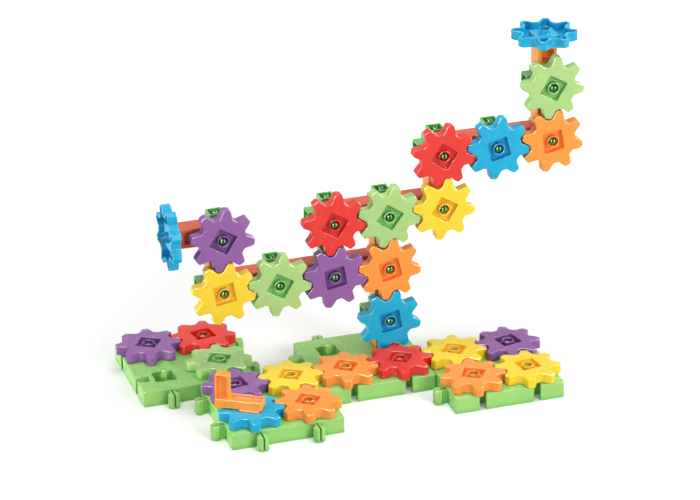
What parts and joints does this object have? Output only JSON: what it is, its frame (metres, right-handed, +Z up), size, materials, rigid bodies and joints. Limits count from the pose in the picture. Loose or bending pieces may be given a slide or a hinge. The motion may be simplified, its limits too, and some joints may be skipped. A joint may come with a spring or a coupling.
{
  "type": "gear building toy",
  "caption": "Moulded-plastic gear building toy: clipped base plates carry flat gears and a tower of hubs and pillars carries upright gears, all turned by one hand crank.",
  "frame": {"origin": "on the ground under the middle foot of plate C, the plate that carries the tower", "axes": "+X runs along the row of plates and of upright gears, to the right seen from the gears' faces, +Y runs to the back of the tower, +Z is up"},
  "size_m": [0.4562, 0.2405, 0.3286],
  "materials": {
    "plate_green": "moulded gloss",
    "hub_green": "moulded gloss",
    "gear_green": "moulded gloss",
    "gear_purple": "moulded gloss",
    "gear_red": "moulded gloss",
    "gear_yellow": "moulded gloss",
    "gear_orange": "moulded gloss",
    "gear_blue": "moulded gloss",
    "pillar_orange": "moulded gloss",
    "beam_coral": "moulded gloss",
    "crank_orange": "moulded gloss"
  },
  "bodies": {
    "stand": {"plate_a": "plate_green", "plate_b": "plate_green", "plate_c": "plate_green", "plate_d": "plate_green", "hub_c3_r1": "hub_green", "hub_c0_r2": "hub_green", "hub_c1_r2": "hub_green", "hub_c2_r2": "hub_green", "hub_c3_r2": "hub_green", "hub_c0_r3": "hub_green", "hub_c2_r3": "hub_green", "hub_c3_r3": "hub_green", "hub_c4_r3": "hub_green", "hub_c4_r4": "hub_green", "hub_c5_r4": "hub_green", "hub_c6_r4": "hub_green", "hub_c6_r5": "hub_green", "beam_c0_c1_r2": "beam_coral", "beam_c1_c2_r2": "beam_coral", "beam_c2_c3_r2": "beam_coral", "beam_left_r3": "beam_coral", "beam_c2_c3_r3": "beam_coral", "beam_c3_c4_r3": "beam_coral", "beam_c4_c5_r4": "beam_coral", "beam_c5_c6_r4": "beam_coral", "upright_c3_r1_r2": "pillar_orange", "upright_c3_r2_r3": "pillar_orange", "upright_c0_r2_r3": "pillar_orange", "upright_c4_r3_r4": "pillar_orange", "upright_c6_r4_r5": "pillar_orange", "upright_c6_r5_r6": "pillar_orange", "cap_gear_top_blue": "gear_blue", "cap_gear_left_blue": "gear_blue"},
    "base_gear_b3_blue": {"base_gear_b3_blue": "gear_blue", "hand_crank": "crank_orange"},
    "base_gear_a1_purple": {"base_gear_a1_purple": "gear_purple"},
    "base_gear_a2_red": {"base_gear_a2_red": "gear_red"},
    "base_gear_a3_green": {"base_gear_a3_green": "gear_green"},
    "base_gear_b1_purple": {"base_gear_b1_purple": "gear_purple"},
    "base_gear_b2_yellow": {"base_gear_b2_yellow": "gear_yellow"},
    "base_gear_b4_orange": {"base_gear_b4_orange": "gear_orange"},
    "base_gear_c1_orange": {"base_gear_c1_orange": "gear_orange"},
    "base_gear_c2_red": {"base_gear_c2_red": "gear_red"},
    "base_gear_d1_yellow": {"base_gear_d1_yellow": "gear_yellow"},
    "base_gear_d2_purple": {"base_gear_d2_purple": "gear_purple"},
    "base_gear_d3_orange": {"base_gear_d3_orange": "gear_orange"},
    "base_gear_d4_yellow": {"base_gear_d4_yellow": "gear_yellow"},
    "wall_gear_c3_r1_blue": {"wall_gear_c3_r1_blue": "gear_blue"},
    "wall_gear_c0_r2_yellow": {"wall_gear_c0_r2_yellow": "gear_yellow"},
    "wall_gear_c1_r2_green": {"wall_gear_c1_r2_green": "gear_green"},
    "wall_gear_c2_r2_purple": {"wall_gear_c2_r2_purple": "gear_purple"},
    "wall_gear_c3_r2_orange": {"wall_gear_c3_r2_orange": "gear_orange"},
    "wall_gear_c0_r3_purple": {"wall_gear_c0_r3_purple": "gear_purple"},
    "wall_gear_c2_r3_red": {"wall_gear_c2_r3_red": "gear_red"},
    "wall_gear_c3_r3_green": {"wall_gear_c3_r3_green": "gear_green"},
    "wall_gear_c4_r3_yellow": {"wall_gear_c4_r3_yellow": "gear_yellow"},
    "wall_gear_c4_r4_red": {"wall_gear_c4_r4_red": "gear_red"},
    "wall_gear_c5_r4_blue": {"wall_gear_c5_r4_blue": "gear_blue"},
    "wall_gear_c6_r4_orange": {"wall_gear_c6_r4_orange": "gear_orange"},
    "wall_gear_c6_r5_green": {"wall_gear_c6_r5_green": "gear_green"}
  },
  "joints": [
    {"name": "crank_spin", "type": "hinge", "parent": "stand", "child": "base_gear_b3_blue", "pos_m": [-0.14, -0.084, 0.0272], "axis": [0, 0, 1], "continuous": true},
    {"name": "base_gear_a1_purple_spin", "type": "hinge", "parent": "stand", "child": "base_gear_a1_purple", "pos_m": [-0.196, 0.084, 0.0272], "axis": [0, 0, 1], "continuous": true},
    {"name": "base_gear_a2_red_spin", "type": "hinge", "parent": "stand", "child": "base_gear_a2_red", "pos_m": [-0.14, 0.084, 0.0272], "axis": [0, 0, 1], "continuous": true},
    {"name": "base_gear_a3_green_spin", "type": "hinge", "parent": "stand", "child": "base_gear_a3_green", "pos_m": [-0.14, 0.028, 0.0272], "axis": [0, 0, 1], "continuous": true},
    {"name": "base_gear_b1_purple_spin", "type": "hinge", "parent": "stand", "child": "base_gear_b1_purple", "pos_m": [-0.14, -0.028, 0.0272], "axis": [0, 0, 1], "continuous": true},
    {"name": "base_gear_b2_yellow_spin", "type": "hinge", "parent": "stand", "child": "base_gear_b2_yellow", "pos_m": [-0.084, -0.028, 0.0272], "axis": [0, 0, 1], "continuous": true},
    {"name": "base_gear_b4_orange_spin", "type": "hinge", "parent": "stand", "child": "base_gear_b4_orange", "pos_m": [-0.084, -0.084, 0.0272], "axis": [0, 0, 1], "continuous": true},
    {"name": "base_gear_c1_orange_spin", "type": "hinge", "parent": "stand", "child": "base_gear_c1_orange", "pos_m": [-0.028, -0.028, 0.0272], "axis": [0, 0, 1], "continuous": true},
    {"name": "base_gear_c2_red_spin", "type": "hinge", "parent": "stand", "child": "base_gear_c2_red", "pos_m": [0.028, -0.028, 0.0272], "axis": [0, 0, 1], "continuous": true},
    {"name": "base_gear_d1_yellow_spin", "type": "hinge", "parent": "stand", "child": "base_gear_d1_yellow", "pos_m": [0.084, -0.028, 0.0272], "axis": [0, 0, 1], "continuous": true},
    {"name": "base_gear_d2_purple_spin", "type": "hinge", "parent": "stand", "child": "base_gear_d2_purple", "pos_m": [0.14, -0.028, 0.0272], "axis": [0, 0, 1], "continuous": true},
    {"name": "base_gear_d3_orange_spin", "type": "hinge", "parent": "stand", "child": "base_gear_d3_orange", "pos_m": [0.084, -0.084, 0.0272], "axis": [0, 0, 1], "continuous": true},
    {"name": "base_gear_d4_yellow_spin", "type": "hinge", "parent": "stand", "child": "base_gear_d4_yellow", "pos_m": [0.14, -0.084, 0.0272], "axis": [0, 0, 1], "continuous": true},
    {"name": "wall_gear_c3_r1_blue_spin", "type": "hinge", "parent": "stand", "child": "wall_gear_c3_r1_blue", "pos_m": [0.028, 0, 0.052], "axis": [0, 1, 0], "continuous": true},
    {"name": "wall_gear_c0_r2_yellow_spin", "type": "hinge", "parent": "stand", "child": "wall_gear_c0_r2_yellow", "pos_m": [-0.14, 0, 0.108], "axis": [0, 1, 0], "continuous": true},
    {"name": "wall_gear_c1_r2_green_spin", "type": "hinge", "parent": "stand", "child": "wall_gear_c1_r2_green", "pos_m": [-0.084, 0, 0.108], "axis": [0, 1, 0], "continuous": true},
    {"name": "wall_gear_c2_r2_purple_spin", "type": "hinge", "parent": "stand", "child": "wall_gear_c2_r2_purple", "pos_m": [-0.028, 0, 0.108], "axis": [0, 1, 0], "continuous": true},
    {"name": "wall_gear_c3_r2_orange_spin", "type": "hinge", "parent": "stand", "child": "wall_gear_c3_r2_orange", "pos_m": [0.028, 0, 0.108], "axis": [0, 1, 0], "continuous": true},
    {"name": "wall_gear_c0_r3_purple_spin", "type": "hinge", "parent": "stand", "child": "wall_gear_c0_r3_purple", "pos_m": [-0.14, 0, 0.164], "axis": [0, 1, 0], "continuous": true},
    {"name": "wall_gear_c2_r3_red_spin", "type": "hinge", "parent": "stand", "child": "wall_gear_c2_r3_red", "pos_m": [-0.028, 0, 0.164], "axis": [0, 1, 0], "continuous": true},
    {"name": "wall_gear_c3_r3_green_spin", "type": "hinge", "parent": "stand", "child": "wall_gear_c3_r3_green", "pos_m": [0.028, 0, 0.164], "axis": [0, 1, 0], "continuous": true},
    {"name": "wall_gear_c4_r3_yellow_spin", "type": "hinge", "parent": "stand", "child": "wall_gear_c4_r3_yellow", "pos_m": [0.084, 0, 0.164], "axis": [0, 1, 0], "continuous": true},
    {"name": "wall_gear_c4_r4_red_spin", "type": "hinge", "parent": "stand", "child": "wall_gear_c4_r4_red", "pos_m": [0.084, 0, 0.22], "axis": [0, 1, 0], "continuous": true},
    {"name": "wall_gear_c5_r4_blue_spin", "type": "hinge", "parent": "stand", "child": "wall_gear_c5_r4_blue", "pos_m": [0.14, 0, 0.22], "axis": [0, 1, 0], "continuous": true},
    {"name": "wall_gear_c6_r4_orange_spin", "type": "hinge", "parent": "stand", "child": "wall_gear_c6_r4_orange", "pos_m": [0.196, 0, 0.22], "axis": [0, 1, 0], "continuous": true},
    {"name": "wall_gear_c6_r5_green_spin", "type": "hinge", "parent": "stand", "child": "wall_gear_c6_r5_green", "pos_m": [0.196, 0, 0.276], "axis": [0, 1, 0], "continuous": true}
  ],
  "couplings": [
    {"joint": "base_gear_a1_purple_spin", "follows": "crank_spin", "ratio": 1},
    {"joint": "base_gear_a2_red_spin", "follows": "crank_spin", "ratio": -1},
    {"joint": "base_gear_a3_green_spin", "follows": "crank_spin", "ratio": 1},
    {"joint": "base_gear_b1_purple_spin", "follows": "crank_spin", "ratio": -1},
    {"joint": "base_gear_b2_yellow_spin", "follows": "crank_spin", "ratio": 1},
    {"joint": "base_gear_b4_orange_spin", "follows": "crank_spin", "ratio": -1},
    {"joint": "base_gear_c1_orange_spin", "follows": "crank_spin", "ratio": -1},
    {"joint": "base_gear_c2_red_spin", "follows": "crank_spin", "ratio": 1},
    {"joint": "base_gear_d1_yellow_spin", "follows": "crank_spin", "ratio": -1},
    {"joint": "base_gear_d2_purple_spin", "follows": "crank_spin", "ratio": 1},
    {"joint": "base_gear_d3_orange_spin", "follows": "crank_spin", "ratio": 1},
    {"joint": "base_gear_d4_yellow_spin", "follows": "crank_spin", "ratio": -1},
    {"joint": "wall_gear_c3_r1_blue_spin", "follows": "crank_spin", "ratio": 1},
    {"joint": "wall_gear_c0_r2_yellow_spin", "follows": "crank_spin", "ratio": 1},
    {"joint": "wall_gear_c1_r2_green_spin", "follows": "crank_spin", "ratio": -1},
    {"joint": "wall_gear_c2_r2_purple_spin", "follows": "crank_spin", "ratio": 1},
    {"joint": "wall_gear_c3_r2_orange_spin", "follows": "crank_spin", "ratio": -1},
    {"joint": "wall_gear_c0_r3_purple_spin", "follows": "crank_spin", "ratio": -1},
    {"joint": "wall_gear_c2_r3_red_spin", "follows": "crank_spin", "ratio": -1},
    {"joint": "wall_gear_c3_r3_green_spin", "follows": "crank_spin", "ratio": 1},
    {"joint": "wall_gear_c4_r3_yellow_spin", "follows": "crank_spin", "ratio": -1},
    {"joint": "wall_gear_c4_r4_red_spin", "follows": "crank_spin", "ratio": 1},
    {"joint": "wall_gear_c5_r4_blue_spin", "follows": "crank_spin", "ratio": -1},
    {"joint": "wall_gear_c6_r4_orange_spin", "follows": "crank_spin", "ratio": 1},
    {"joint": "wall_gear_c6_r5_green_spin", "follows": "crank_spin", "ratio": -1}
  ]
}
